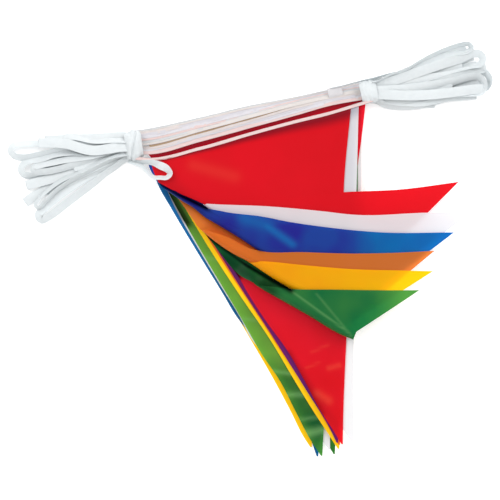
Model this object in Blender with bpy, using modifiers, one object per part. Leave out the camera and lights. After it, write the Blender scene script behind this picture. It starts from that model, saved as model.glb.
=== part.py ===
"""Pennant string, folded away and laid flat on a table.

Eighteen film pennants are bound along their heads by one long white tape. The pennants lie on one another in a
pile. The lower halves of the front six are folded up together and fan out to the right. The tape between the
pennants is gathered into a hank of loops at each side, and each hank is tied at its neck.

X runs along the heads, Y up the length of the pennants and Z up from the table. Lengths are in millimetres,
and MM turns them into metres.
"""

import math
from collections import namedtuple

import bmesh
import bpy
from mathutils import Vector

MM = 0.001

# Sheets: the film and the tape are drawn a millimetre thick, with air between one layer and the next.
SHEET = 1.0
AIR = 0.4
PITCH = SHEET + AIR
EDGE_GAP = 1.1
TIP_WIDTH = 2.5
BINDING_WIDTH = 7.0

# The pile: layer 0 is the lowest. The layers from LOOSE_LAYER up billow a little.
LAYERS = 18
LOOSE_LAYER = 11
BILLOW = 1.1
BILLOW_MORE = 0.3
BILLOW_LENGTH = (270.0, 330.0)

# The fold of the front six: how far the flaps stand off the pile at the fold and over it, how far off one
# another, and where their free ends sink beside the pile.
FOLD_START = (-131.0, 96.0)
FOLD_SLOPE = math.radians(-31.0)
FOLD_LIFT = 4.5
FLAP_LIFT = 0.5
LIFT_REACH = (6.0, 90.0)
FLAP_PITCH = 2.0
SINK_FROM, SINK_TO = 166.0, 330.0
SINK_DEPTH = 20.0

# The hanks: the tape runs flat or on edge, and the necks stand inside the ties.
TAPE_THICK = 1.8
NECK_HEIGHT = 17.4
NECK_RADII = (14.0, 10.0)
NECK_TAPER = 0.9
TIE_WALL = 3.6
TIE_GAP = 0.6

FILM_COLOURS = {
    "red": (0.76, 0.012, 0.02),
    "white": (0.80, 0.84, 0.90),
    "blue": (0.02, 0.055, 0.42),
    "orange": (0.72, 0.17, 0.02),
    "yellow": (0.90, 0.50, 0.01),
    "green": (0.012, 0.19, 0.05),
}
TAPE_COLOUR = (0.86, 0.88, 0.90)

# The line of the front bindings, which the second to the sixth follow under the first
FRONT_LINE = ((-148, 130), (-77, 143), (15, 170), (143, 201), (160, 208))

# Flat pennants, from the seventh to the lowest. binding: the middle of the tape over the head, from tie to tie.
# head: the head's two corners along X. left and right: points that the side edges pass. tip: the lower end.
Flat = namedtuple("Flat", "colour binding head left right tip")
FLAT_PENNANTS = (
    Flat("red", ((-148, 142), (6, 176), (160, 214)), (-126, 159), (), ((155, 154),), (130, -276)),
    Flat("white", ((-148, 147), (160, 219)), (-128, 159), (), ((160, 84), (149, -130)), (147, -276)),
    Flat("blue", ((-148, 148), (160, 220)), (-130, 157), (), (), (126, -279)),
    Flat("orange", ((-148, 149), (160, 220)), (-133, 156), (), (), (123, -283)),
    Flat("yellow", ((-148, 154), (160, 224)), (-145, 155), (), (), (123, -286)),
    Flat("green", ((-148, 155), (160, 225)), (-146, 150), ((-69, -1),), ((105, -253),), (102, -293)),
    Flat("red", ((-148, 156), (160, 225)), (-144, 150), (), (), (109, -279)),
    Flat("white", ((-148, 160), (160, 230)), (-146, 150), ((-71, -1), (13, -146)), ((114, -250),), (111, -286)),
    Flat("blue", ((-148, 162), (160, 231)), (-146, 150), ((-132, 98), (-76, -1), (9, -134), (47, -193)), (),
         (97, -295.7)),
    Flat("orange", ((-148, 163), (160, 233)), (-145, 148), (), (), (103, -282)),
    Flat("yellow", ((-148, 164), (160, 234)), (-145, 145), ((-74, -1), (43, -193), (68, -239)), (), (87, -281)),
    Flat("green", ((-148, 165), (160, 236)), (-144, 148), (), (), (119, -292)),
)

# Folded pennants, from the front one back. left and right: points on the side edges down to the fold.
# fold: the outer line of the fold, from left to right. top: points on the folded part's upper edge.
Folded = namedtuple("Folded", "colour head left right fold top tip")
FOLDED_PENNANTS = (
    Folded("red", (-146, 143), (), ((133, 84),), ((-126, 93), (-76, 71), (137, -62)),
           ((-52, 75), (43, 74), (134, 82), (214, 86)), (296, 96)),
    Folded("white", (-143, 154), (), ((151, 84),), ((-84, 69), (-55, 54), (143, -77)),
           ((-52, 65), (23, 62), (102, 55), (147, 50), (251, 52)), (313, 52)),
    Folded("blue", (-144, 150), (), ((148, 84),), ((-120, 86), (-70, 56), (-33, 31), (12, -1), (143, -89)),
           ((-92, 72), (-66, 60), (-52, 58), (-22, 52), (23, 45), (102, 33), (185, 25)), (289, 25)),
    Folded("orange", (-145, 150), ((-100, 72), (-75, 39)), ((148, 84),),
           ((-62, 22), (-33, 6), (-11, -7), (72, -57), (143, -103)),
           ((-39, 21), (-6, 4), (18, -2), (72, -3), (143, -5), (228, -3)), (262, -1)),
    Folded("yellow", (-145, 150), ((-97, 72), (-53, 21)), ((148, 84),),
           ((-2, -17), (34, -40), (57, -55), (143, -109)),
           ((18, -16), (72, -21), (143, -27), (214, -29)), (261, -29)),
    Folded("green", (-145, 152), ((-100, 69), (-63, 25), (-43, 2), (-25, -22), (-11, -40)), ((153, 84),),
           ((18, -58), (57, -77), (86, -97), (131, -122), (146, -127)),
           ((50, -56), (114, -58), (185, -59)), (235, -59)),
)

# The loops of a hank. lean: how far the tape stands up off the flat, in degrees. drop: how far below it the
# tape runs back after a fold over its end, or nothing where the loop lies open. route: x, y and height.
Loop = namedtuple("Loop", "lean width drop route")
LEFT_LOOPS = (
    Loop(50, 11, 0, ((-190, 156, 20), (-226, 159, 19), (-252, 164, 17), (-283, 156, 12), (-319, 152, 8),
                     (-337, 148, 7), (-342.6, 141, 7), (-336, 133, 7), (-320, 131, 7.5), (-290, 139, 9),
                     (-255, 143, 12), (-190, 143, 15))),
    Loop(4, 13, 6, ((-190, 148, 22), (-226, 146, 25), (-252, 148, 24), (-275, 152, 22), (-295, 153, 20))),
    Loop(50, 11, 0, ((-190, 147, 16), (-226, 137, 15), (-252, 139, 13), (-276, 138, 11), (-300, 132, 9),
                     (-318, 124, 7.5), (-325, 115, 7), (-319, 106, 7), (-300, 104, 7.5), (-280, 108, 9),
                     (-255, 118, 11), (-225, 130, 13), (-190, 141, 15))),
    Loop(30, 8, 0, ((-190, 146, 20), (-240, 131, 19), (-275, 124, 17), (-300, 123, 15), (-309, 118, 14),
                    (-302, 113, 14), (-280, 112, 15), (-250, 121, 17), (-190, 142, 18))),
    Loop(5, 13, 4, ((-190, 143, 14), (-241, 121, 11), (-285, 101, 9), (-315, 92, 7.5))),
    Loop(5, 13, 3.4, ((-190, 140, 12), (-230, 122, 9), (-269, 101, 7), (-300, 80, 6), (-317, 69, 5.5))),
    Loop(45, 11, 5, ((-190, 141, 19), (-241, 116, 17), (-269, 97, 16), (-290, 80, 15), (-304, 66, 13.5))),
    Loop(62, 12, 0, ((-190, 138, 14), (-212, 126, 12), (-241, 107, 10), (-269, 84, 8), (-290, 64, 7.5),
                     (-302, 52, 7), (-304, 44, 7), (-296, 41, 7), (-269, 57, 7), (-244, 75, 8),
                     (-219, 95, 10), (-198, 114, 12), (-184, 131, 14))),
)
RIGHT_LOOPS = (
    Loop(74, 11, 0, ((196, 240, 20), (215, 253, 20), (237, 266, 19), (259, 278, 18), (288, 290, 17),
                     (313, 292, 16), (321, 286, 15), (313, 280, 15), (288, 276, 16), (259, 267, 17),
                     (226, 252, 18), (196, 236, 18))),
    Loop(12, 13, 6, ((196, 236, 20), (226, 250, 22), (259, 262, 22), (285, 269, 21), (313, 277, 20),
                     (330, 281, 19))),
    Loop(25, 11, 7, ((196, 230, 18), (249, 242, 19), (285, 249, 18), (320, 258, 16), (334, 264, 15))),
    Loop(20, 12, 6, ((196, 227, 19), (249, 233, 15), (292, 241, 13), (324, 248, 12), (339, 252, 11))),
    Loop(15, 12, 5, ((196, 224, 17), (249, 226, 13), (299, 234, 9), (330, 239, 8), (342, 242, 8))),
    Loop(8, 14, 6, ((196, 221, 19), (249, 219, 22), (292, 225, 20), (322, 228, 18), (338, 229, 16))),
    Loop(30, 11, 5, ((196, 217, 15), (214, 214, 13), (256, 212, 10), (292, 216, 9), (332, 224, 9))),
    Loop(50, 11, 0, ((192, 216, 17), (200, 208, 14), (214, 204, 11), (235, 203, 9), (259, 210, 8),
                     (285, 215, 8), (296, 221, 9), (285, 226, 9), (259, 222, 10), (214, 214, 12),
                     (196, 217, 15))),
)

# Necks and ties: the middle of the tie, the direction that the hank leaves in, and where the neck ends
Neck = namedtuple("Neck", "middle turn half_length inner_end outer_end")
LEFT_NECK = Neck((-166, 148), math.radians(190), 12.8, 13.5, 56.0)
RIGHT_NECK = Neck((174, 226), math.radians(8), 10.5, 11.0, 44.0)

# The small loop at the end of the string, lying on the corner of the front pennant, with its tail to the tie
END_LOOP = ((-145, 117, 29), (-137, 124, 29.4), (-124, 122, 29.6), (-115, 113, 29.6), (-120, 105, 29.4),
            (-134, 104, 29.2), (-143, 109, 29))
END_LOOP_WIDTH = 6.0
END_TAIL = ((-160, 121, 19), (-152, 119, 25), (-143, 119, 29))
END_TAIL_WIDTH = 7.0

# The short turn of tape over the upper bindings, near their right end
TURN_LINE = ((111, 221.5), (131, 226.5))
TURN_WIDTH = 13.0
TURN_HEIGHT = 12.4


def clear_scene():
    for obj in list(bpy.data.objects):
        bpy.data.objects.remove(obj, do_unlink=True)


def new_collection(name, shown=True):
    collection = bpy.data.collections.new(name)
    collection.hide_render = not shown
    bpy.context.scene.collection.children.link(collection)
    return collection


def new_material(name, colour, roughness):
    material = bpy.data.materials.new(name)
    material.use_nodes = True
    shader = material.node_tree.nodes["Principled BSDF"]
    shader.inputs["Base Color"].default_value = (*colour, 1.0)
    shader.inputs["Roughness"].default_value = roughness
    shader.inputs["Metallic"].default_value = 0.0
    return material


def smooth(low, high, value):
    """Rises softly from 0 at low to 1 at high."""
    t = min(max((value - low) / (high - low), 0.0), 1.0)
    return t * t * (3.0 - 2.0 * t)


def route(points):
    """A smooth curve through the points, as a function of the share of the way along it."""
    points = [Vector(p) for p in points]
    steps = [(b - a).length for a, b in zip(points, points[1:])]
    marks = [sum(steps[:i]) for i in range(len(points))]
    slopes = []
    for i, p in enumerate(points):
        if i in (0, len(points) - 1):
            j = min(i, len(points) - 2)
            slopes.append((points[j + 1] - points[j]) / steps[j])
        else:
            before = (p - points[i - 1]) / steps[i - 1]
            after = (points[i + 1] - p) / steps[i]
            slopes.append((before * steps[i] + after * steps[i - 1]) / (steps[i - 1] + steps[i]))

    def at(share):
        where = min(max(share, 0.0), 1.0) * marks[-1]
        i = max(j for j in range(len(steps)) if marks[j] <= where + 1e-9)
        t = (where - marks[i]) / steps[i]
        return (
            points[i] * (2 * t**3 - 3 * t**2 + 1)
            + slopes[i] * steps[i] * (t**3 - 2 * t**2 + t)
            + points[i + 1] * (3 * t**2 - 2 * t**3)
            + slopes[i + 1] * steps[i] * (t**3 - t**2)
        )

    return at


def patch(top, bottom, left, right):
    """The surface between four curves, as a function of the share across and the share down."""

    def at(u, v):
        across = top(u) * (1 - v) + bottom(u) * v
        down = left(v) * (1 - u) + right(v) * u
        corners = (top(0) * (1 - u) + top(1) * u) * (1 - v) + (bottom(0) * (1 - u) + bottom(1) * u) * v
        return across + down - corners

    return at


def new_sheet(name, columns, rows, place, thickness, material, collection, round_about=False):
    """A grid laid along place(column, row) and thickened into a solid. Round about, it closes on itself."""
    mesh = bpy.data.meshes.new(name)
    grid = bmesh.new()
    bmesh.ops.create_grid(grid, x_segments=columns, y_segments=rows, size=0.5)
    for vertex in grid.verts:
        column = round((vertex.co.x + 0.5) * columns)
        row = round((vertex.co.y + 0.5) * rows)
        vertex.co = Vector(place(column, row)) * MM
    if round_about:
        bmesh.ops.remove_doubles(grid, verts=grid.verts, dist=0.01 * MM)
    bmesh.ops.recalc_face_normals(grid, faces=grid.faces)
    grid.to_mesh(mesh)
    grid.free()
    mesh.materials.append(material)
    mesh.shade_smooth()
    obj = bpy.data.objects.new(name, mesh)
    collection.objects.link(obj)
    shell = obj.modifiers.new("Thickness", "SOLIDIFY")
    shell.thickness = thickness * MM
    shell.offset = 0.0
    shell.use_quality_normals = True
    return obj


def layer_height(layer, x, y):
    """The middle of a layer of the pile, over the table."""
    height = SHEET / 2 + layer * PITCH
    if layer >= LOOSE_LAYER:
        swell = 0.5 + 0.5 * math.sin(math.tau * x / BILLOW_LENGTH[0]) * math.cos(math.tau * y / BILLOW_LENGTH[1])
        height += (BILLOW + BILLOW_MORE * (layer - LOOSE_LAYER)) * swell
    return height


def flap_height(order, x, y):
    """The middle of a folded-up part, where order 0 is the front pennant's and the lowest."""
    inward = (x - FOLD_START[0]) * -math.sin(FOLD_SLOPE) + (y - FOLD_START[1]) * math.cos(FOLD_SLOPE)
    lift = FLAP_LIFT + (FOLD_LIFT - FLAP_LIFT) * (1 - smooth(*LIFT_REACH, inward))
    sink = SINK_DEPTH * smooth(SINK_FROM, SINK_TO, x)
    return layer_height(LAYERS - 1, x, y) + lift - sink + (order + 1) * FLAP_PITCH


def at_height(point, height):
    return Vector((point.x, point.y, height))


def head_line(binding, head):
    """The upper edge of a pennant, just below the tape that binds it, between the head's corners."""
    line = route(binding)
    samples = [line(i / 60) for i in range(61)]
    below = BINDING_WIDTH / 2 + EDGE_GAP

    def at(share):
        x = head[0] + (head[1] - head[0]) * share
        after = next(i for i in range(1, 61) if samples[i].x >= x or i == 60)
        a, b = samples[after - 1], samples[after]
        along = (b - a).normalized()
        middle = a + (b - a) * ((x - a.x) / (b.x - a.x))
        return middle + Vector((along.y, -along.x)) * below

    return at


def tip_line(tip, toward):
    """The narrow end of a pennant at its tip, from the left edge to the right."""
    side = (Vector(toward) - Vector(tip)).normalized() * TIP_WIDTH
    return lambda share: Vector(tip) + side * share


def make_binding(number, binding, layer, material, collection):
    line = route(binding)
    rows = 10 if layer >= LOOSE_LAYER else 4

    def place(column, row):
        share = row / rows
        along = (line(min(share + 0.01, 1.0)) - line(max(share - 0.01, 0.0))).normalized()
        point = line(share) + Vector((-along.y, along.x)) * BINDING_WIDTH * (column - 0.5)
        return at_height(point, layer_height(layer, point.x, point.y))

    new_sheet(f"binding_{number:02d}", 1, rows, place, SHEET, material, collection)


def make_flat_pennant(number, row_data, layer, material, collection):
    top = head_line(row_data.binding, row_data.head)
    bottom = tip_line(row_data.tip, (row_data.tip[0] + 1, row_data.tip[1]))
    left = route((top(0), *row_data.left, bottom(0)))
    right = route((top(1), *row_data.right, bottom(1)))
    surface = patch(top, bottom, left, right)
    columns, rows = (6, 9) if layer >= LOOSE_LAYER else (3, 6)

    def place(column, row):
        point = surface(column / columns, row / rows)
        return at_height(point, layer_height(layer, point.x, point.y))

    new_sheet(f"pennant_{number:02d}_{row_data.colour}", columns, rows, place, SHEET, material, collection)


def make_folded_pennant(number, row_data, layer, material, collection):
    order = number - 1
    columns, body_rows, bend_rows, flap_rows = 8, 7, 6, 10
    crease = route(row_data.fold)

    def outward(share):
        along = (crease(min(share + 0.02, 1.0)) - crease(max(share - 0.02, 0.0))).normalized()
        return Vector((along.y, -along.x))

    def radius(share):
        point = crease(share)
        return (flap_height(order, point.x, point.y) - layer_height(layer, point.x, point.y)) / 2

    def spring(share):
        return crease(share) - outward(share) * radius(share)

    top = head_line(FRONT_LINE, row_data.head)
    body = patch(top, spring, route((top(0), *row_data.left, spring(0))),
                 route((top(1), *row_data.right, spring(1))))
    end = tip_line(row_data.tip, spring(1))
    flap = patch(spring, end, route((spring(0), *row_data.top, end(0))), route((spring(1), end(1))))

    def place(column, row):
        share = column / columns
        if row <= body_rows:
            point = body(share, row / body_rows)
            return at_height(point, layer_height(layer, point.x, point.y))
        if row >= body_rows + bend_rows:
            point = flap(share, (row - body_rows - bend_rows) / flap_rows)
            return at_height(point, flap_height(order, point.x, point.y))
        turn = math.pi * (row - body_rows) / bend_rows
        start = spring(share)
        low = layer_height(layer, start.x, start.y)
        high = flap_height(order, start.x, start.y)
        point = start + outward(share) * radius(share) * math.sin(turn)
        return at_height(point, (low + high) / 2 - (high - low) / 2 * math.cos(turn))

    rows = body_rows + bend_rows + flap_rows
    new_sheet(f"pennant_{number:02d}_{row_data.colour}", columns, rows, place, SHEET, material, collection)


def across_tape(along, lean):
    """The direction across a tape that runs along, and stands up by lean off the flat."""
    flat = Vector((-along.y, along.x, 0.0)).normalized()
    return flat * math.cos(lean) + Vector((0.0, 0.0, 1.0)) * math.sin(lean)


def loop_frames(loop, steps):
    """The middle of a loop's tape and the direction across it, from one end at the neck to the other."""
    line = route(loop.route)
    lean = math.radians(loop.lean)
    frames = []
    for i in range(steps + 1):
        share = i / steps
        along = line(min(share + 0.01, 1.0)) - line(max(share - 0.01, 0.0))
        frames.append((line(share), across_tape(along, lean)))
    if not loop.drop:
        return frames
    end, across = frames[-1]
    outward = (frames[-1][0] - frames[-2][0]).normalized()
    down = Vector((0.0, 0.0, -loop.drop))
    turn = [(end + down / 2 + outward * loop.drop / 2, across)]
    back = [(point + down * smooth(0, 3, i), way) for i, (point, way) in enumerate(frames)]
    return frames + turn + back[::-1]


def make_tape(name, frames, width, thickness, material, collection, round_about=False):
    def place(column, row):
        middle, across = frames[row]
        return middle + across * width * (column - 0.5)

    return new_sheet(name, 1, len(frames) - 1, place, thickness, material, collection, round_about)


def join(base, others, guides):
    """Adds each of the other solids to the base by a Boolean union."""
    for other in others:
        other.hide_render = True
        other.display_type = "WIRE"
        for collection in list(other.users_collection):
            collection.objects.unlink(other)
        guides.objects.link(other)
        union = base.modifiers.new("Join", "BOOLEAN")
        union.operation = "UNION"
        union.solver = "EXACT"
        union.use_self = True
        union.object = other


def make_neck(name, neck, material, collection):
    """The core of a hank, a bundle of the tapes that passes through the tie."""
    mesh = bpy.data.meshes.new(name)
    core = bmesh.new()
    bmesh.ops.create_cone(core, cap_ends=True, segments=20, radius1=1.0, radius2=NECK_TAPER, depth=1.0)
    length = neck.inner_end + neck.outer_end
    way = Vector((math.cos(neck.turn), math.sin(neck.turn), 0.0))
    side = Vector((-way.y, way.x, 0.0))
    start = Vector((*neck.middle, NECK_HEIGHT)) - way * neck.inner_end
    for vertex in core.verts:
        across, up, along = vertex.co.x, vertex.co.y, vertex.co.z + 0.5
        point = start + way * along * length + side * across * NECK_RADII[0]
        point.z += up * NECK_RADII[1]
        vertex.co = point * MM
    bmesh.ops.recalc_face_normals(core, faces=core.faces)
    core.to_mesh(mesh)
    core.free()
    mesh.materials.append(material)
    mesh.shade_smooth()
    mesh.set_sharp_from_angle(angle=math.radians(35))
    obj = bpy.data.objects.new(name, mesh)
    collection.objects.link(obj)
    return obj


def make_hank(name, neck, loops, material, collection, guides):
    core = make_neck(name, neck, material, collection)
    tapes = []
    for i, loop in enumerate(loops, 1):
        frames = loop_frames(loop, 9 if loop.drop else 20)
        tapes.append(make_tape(f"{name}_loop_{i}", frames, loop.width, TAPE_THICK, material, guides))
    join(core, tapes, guides)


def make_tie(name, neck, turns, swell, material, collection):
    """Turns of tape round a neck, as one sleeve with a swelling for each turn."""
    segments, rows = 24, 4 * turns
    way = Vector((math.cos(neck.turn), math.sin(neck.turn), 0.0))
    side = Vector((-way.y, way.x, 0.0))
    middle = Vector((*neck.middle, NECK_HEIGHT))

    def place(column, row):
        angle = math.tau * (column % segments) / segments
        share = row / rows
        slant = 0.12 * math.sin(angle) * math.sin(math.pi * share)
        out = TIE_WALL / 2 + TIE_GAP + swell * abs(math.sin(math.pi * turns * (share + slant)))
        across = side * math.cos(angle) * (NECK_RADII[0] + out)
        up = Vector((0.0, 0.0, math.sin(angle) * (NECK_RADII[1] + out)))
        return middle + way * (2 * share - 1) * neck.half_length + across + up

    new_sheet(name, segments, rows, place, TIE_WALL, material, collection, round_about=True)


def make_end_loop(material, collection, guides):
    line = route((*END_LOOP, END_LOOP[0]))
    steps = 18
    middle = sum((Vector(p) for p in END_LOOP), Vector()) / len(END_LOOP)
    ring = []
    for i in range(steps + 1):
        point = line(i % steps / steps)
        out = point - middle
        ring.append((point, Vector((out.x, out.y, 0.0)).normalized()))
    loop = make_tape("end_loop", ring, END_LOOP_WIDTH, TAPE_THICK, material, collection, round_about=True)
    tail_line = route(END_TAIL)
    tail = []
    for i in range(7):
        along = tail_line(min(i / 6 + 0.05, 1.0)) - tail_line(max(i / 6 - 0.05, 0.0))
        tail.append((tail_line(i / 6), across_tape(along, 0.0)))
    join(loop, [make_tape("end_tail", tail, END_TAIL_WIDTH, TAPE_THICK * 0.8, material, guides)], guides)


def make_turn(material, collection):
    line = route(TURN_LINE)
    along = (line(1.0) - line(0.0)).normalized()
    side = Vector((-along.y, along.x))

    def place(column, row):
        across = column / 4 - 0.5
        point = line(row) + side * TURN_WIDTH * across
        return at_height(point, TURN_HEIGHT - 8.0 * across**4)

    new_sheet("short_turn", 4, 1, place, SHEET, material, collection)


def main():
    clear_scene()
    string = new_collection("Pennant string")
    guides = new_collection("Guides", shown=False)
    films = {name: new_material(f"film_{name}", colour, 0.28) for name, colour in FILM_COLOURS.items()}
    tape = new_material("tape_white", TAPE_COLOUR, 0.55)

    for number, row_data in enumerate(FOLDED_PENNANTS, 1):
        layer = LAYERS - number
        make_folded_pennant(number, row_data, layer, films[row_data.colour], string)
        make_binding(number, FRONT_LINE, layer, tape, string)
    for number, row_data in enumerate(FLAT_PENNANTS, len(FOLDED_PENNANTS) + 1):
        layer = LAYERS - number
        make_flat_pennant(number, row_data, layer, films[row_data.colour], string)
        make_binding(number, row_data.binding, layer, tape, string)

    make_hank("left_hank", LEFT_NECK, LEFT_LOOPS, tape, string, guides)
    make_hank("right_hank", RIGHT_NECK, RIGHT_LOOPS, tape, string, guides)
    make_tie("left_tie", LEFT_NECK, 2, 2.4, tape, string)
    make_tie("right_tie", RIGHT_NECK, 1, 0.8, tape, string)
    make_end_loop(tape, string, guides)
    make_turn(tape, string)


main()
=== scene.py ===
import math

import bmesh
import bpy
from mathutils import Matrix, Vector, noise


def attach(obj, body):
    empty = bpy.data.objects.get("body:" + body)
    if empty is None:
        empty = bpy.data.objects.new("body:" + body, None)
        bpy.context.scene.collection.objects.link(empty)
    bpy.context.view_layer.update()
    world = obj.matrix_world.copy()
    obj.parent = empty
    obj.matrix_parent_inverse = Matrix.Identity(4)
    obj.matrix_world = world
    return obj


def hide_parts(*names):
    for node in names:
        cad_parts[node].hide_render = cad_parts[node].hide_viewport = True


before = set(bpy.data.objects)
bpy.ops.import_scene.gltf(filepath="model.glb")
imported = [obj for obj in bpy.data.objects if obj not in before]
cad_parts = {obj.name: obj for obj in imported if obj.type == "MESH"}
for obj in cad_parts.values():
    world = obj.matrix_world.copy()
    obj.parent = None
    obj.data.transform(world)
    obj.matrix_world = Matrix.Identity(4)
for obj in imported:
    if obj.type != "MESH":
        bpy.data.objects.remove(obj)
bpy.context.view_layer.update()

scene = bpy.context.scene
mm = 0.001

# Where each piece reads the noise, so that no two ripple alike
seeds = {
    "pile": 1,
    "layer": 2,
    "leftHank": 10,
    "rightHank": 30,
    "flap": 31,
    "endLoop": 50,
    "bindingLean": 60,
    "bindingRise": 80,
}
noiseGap = 7.31  # from one seed's plane of the noise to the next


def linearFromHex(text):
    # without the sRGB curve
    channels = [int(text[i:i + 2], 16) / 255 for i in (1, 3, 5)]
    return [c / 12.92 if c <= 0.04045 else ((c + 0.055) / 1.055) ** 2.4 for c in channels] + [1.0]


def smoothStep(low, high, value):
    t = min(max((value - low) / (high - low), 0.0), 1.0)
    return t * t * (3.0 - 2.0 * t)


def rippleAt(x, y, size, seed):
    # a soft unevenness from -1 to 1, with humps about size millimetres apart
    return noise.noise(Vector((x / size, y / size, seed * noiseGap)))


def routeThrough(points):
    # a smooth curve through the points, asked for by the share of the way along it
    points = [Vector(p) for p in points]
    steps = [(b - a).length for a, b in zip(points, points[1:])]
    marks = [sum(steps[:i]) for i in range(len(points))]
    slopes = []
    for i, p in enumerate(points):
        if i in (0, len(points) - 1):
            j = min(i, len(points) - 2)
            slopes.append((points[j + 1] - points[j]) / steps[j])
        else:
            before = (p - points[i - 1]) / steps[i - 1]
            after = (points[i + 1] - p) / steps[i]
            slopes.append((before * steps[i] + after * steps[i - 1]) / (steps[i - 1] + steps[i]))

    def at(share):
        where = min(max(share, 0.0), 1.0) * marks[-1]
        i = max(j for j in range(len(steps)) if marks[j] <= where + 1e-9)
        t = (where - marks[i]) / steps[i]
        return (points[i] * (2 * t**3 - 3 * t**2 + 1) + slopes[i] * steps[i] * (t**3 - 2 * t**2 + t)
                + points[i + 1] * (3 * t**2 - 2 * t**3) + slopes[i + 1] * steps[i] * (t**3 - t**2))

    return at


def directionAt(line, share, step):
    # which way a curve runs, from a step before to a step after
    return line(min(share + step, 1.0)) - line(max(share - step, 0.0))


def patchBetween(top, bottom, left, right):
    # the surface between four curves
    def at(u, v):
        across = top(u) * (1 - v) + bottom(u) * v
        down = left(v) * (1 - u) + right(v) * u
        corners = (top(0) * (1 - u) + top(1) * u) * (1 - v) + (bottom(0) * (1 - u) + bottom(1) * u) * v
        return across + down - corners

    return at


def atHeight(point, height):
    return Vector((point.x, point.y, height))


def addGrid(mesh, columns, rows, place, joined=False):
    # a grid of faces laid along place(column, row), with the distances across and along it kept as UVs. In a
    # joined one the last row is the first
    uvLayer = mesh.loops.layers.uv.verify()
    points = [[Vector(place(c, r)) for c in range(columns + 1)] for r in range(rows + 1)]
    verts = [[mesh.verts.new(p * mm) for p in row] for row in (points[:-1] if joined else points)]
    if joined:
        verts.append(verts[0])
    middle = columns // 2
    along = [0.0]
    for r in range(rows):
        along.append(along[-1] + (points[r + 1][middle] - points[r][middle]).length)
    across = [0.0]
    for c in range(columns):
        across.append(across[-1] + (points[0][c + 1] - points[0][c]).length)
    for r in range(rows):
        for c in range(columns):
            corners = ((c, r), (c + 1, r), (c + 1, r + 1), (c, r + 1))
            face = mesh.faces.new([verts[j][i] for i, j in corners])
            face.smooth = True
            for loop, (i, j) in zip(face.loops, corners):
                loop[uvLayer].uv = (across[i] * mm, along[j] * mm)


def newPiece(name, build, thickness, material, nodes):
    # a mesh made by build(mesh), thickened where asked, that stands for CAD nodes
    mesh = bmesh.new()
    build(mesh)
    data = bpy.data.meshes.new(name)
    mesh.to_mesh(data)
    mesh.free()
    data.materials.append(material)
    piece = bpy.data.objects.new(name, data)
    scene.collection.objects.link(piece)
    if thickness:
        shell = piece.modifiers.new("thickness", "SOLIDIFY")
        shell.thickness = thickness * mm
        shell.offset = 0.0
    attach(piece, "root")
    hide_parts(*nodes)
    return piece


def startMaterial(name):
    # an empty material with its tree and coordinates
    material = bpy.data.materials.new(name)
    material.use_nodes = True
    tree = material.node_tree
    tree.nodes.clear()
    return material, tree, addNode(tree, "ShaderNodeTexCoord")


def addNode(tree, kind, settings=None, links=None):
    # one node with its settings and the sockets that feed it
    node = tree.nodes.new(kind)
    for name, value in (settings or {}).items():
        if isinstance(name, int) or name in node.inputs:
            node.inputs[name].default_value = value
        else:
            setattr(node, name, value)
    for name, source in (links or {}).items():
        tree.links.new(source, node.inputs[name])
    return node


def addNoise(tree, place, size, detail):
    # spots about size millimetres apart, fixed to the piece
    return addNode(tree, "ShaderNodeTexNoise", {"Scale": 1 / (size * mm), "Detail": detail},
                   {"Vector": place.outputs["Object"]})


def mixColours(tree, share, first, second):
    # each colour is fixed or a node's output. Of the mix node's sockets, 0 is the share, 6 and 7 are colours
    node = addNode(tree, "ShaderNodeMix", {"data_type": "RGBA"}, {0: share})
    for socket, colour in ((6, first), (7, second)):
        if isinstance(colour, bpy.types.NodeSocket):
            tree.links.new(colour, node.inputs[socket])
        else:
            node.inputs[socket].default_value = colour
    return node.outputs[2]


print("film and tape")
# Polyethylene film, blown thin and dyed through: a soft gloss with faint wrinkles, and creases that carry a
# painted highlight. Much of the light goes through it, so it looks bright over white and dark over another
# colour
film = {
    "roughness": 0.3,
    "ior": 1.51,
    "gloss": 0.16,
    "wrinkleSize": 38.0,
    "wrinkleDepth": 0.35,
    "wrinkleStrength": 0.5,
    # painted sheen: how far apart its patches lie, the noise range they take, and their share of the tone
    "sheenPatchSize": 46.0,
    "sheenPatchRange": (0.34, 0.66),
    "sheenPatchShare": 0.25,
    # painted highlight along the creases: how strong it is, and its colour on red, blue and green
    "creaseHighlightStrength": 0.6,
    "creaseHighlight": {"red": "#FF5A40", "blue": "#0088C8", "green": "#8CC87C"},  # the others crease white
    "headShade": (3.0, 14.0),  # from the head down, where the painted shade along the head fades out
    # near black, the colour of the painted shade in the hollows
    "paintedShadeColour": (0.0, 0.0, 0.002, 1.0),
    # colour at the fold, at the tip, where it turns along X, colour of the painted shade along the head, with
    # light behind it, share of the light let through
    "folded": {
        "red": ("#E80A1E", "#D80A18", (20, 220), "#8E0A1E", "#D01020", 0.34),
        "white": ("#DCD8DC", "#E4E4E8", (20, 220), "#B8B8C2", "#DADBDF", 0.32),
        "blue": ("#22208C", "#0070B0", (146, 180), "#2A2A66", "#0C6CC8", 0.36),
        "orange": ("#E27A2A", "#E67A38", (20, 220), "#A8744C", "#F88A38", 0.45),
        "yellow": ("#FFA80C", "#FFCC00", (20, 220), "#A08878", "#FCD400", 0.45),
        "green": ("#046838", "#54983C", (176, 222), "#30503A", "#30943C", 0.3),
    },
    # the same from the head to the tip, and it turns along Y
    "flat": {
        "red": ("#F41632", "#E00C1A", (-70, -190), "#8E0A1E", "#E81426", 0.36),
        "white": ("#E6E4E6", "#E4E4E6", (-70, -190), "#B8B8C2", "#E0E0E2", 0.2),
        "blue": ("#1A3078", "#12387C", (-70, -190), "#2A2A66", "#0CA0D8", 0.4),
        "blue over red": ("#70206C", "#641E78", (-70, -190), "#2A2A66", "#8A2880", 0.3),
        "orange": ("#E87C30", "#C86420", (-70, -190), "#A8744C", "#FF9038", 0.45),
        "yellow": ("#FFD00C", "#FFC40A", (-70, -190), "#A08878", "#FFDC00", 0.12),
        "green": ("#74AC3E", "#065C2A", (-146, -184), "#30503A", "#6CBC40", 0.36),
    },
    "overRed": 9,  # the blue pennant that shows red from below
}


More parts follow.
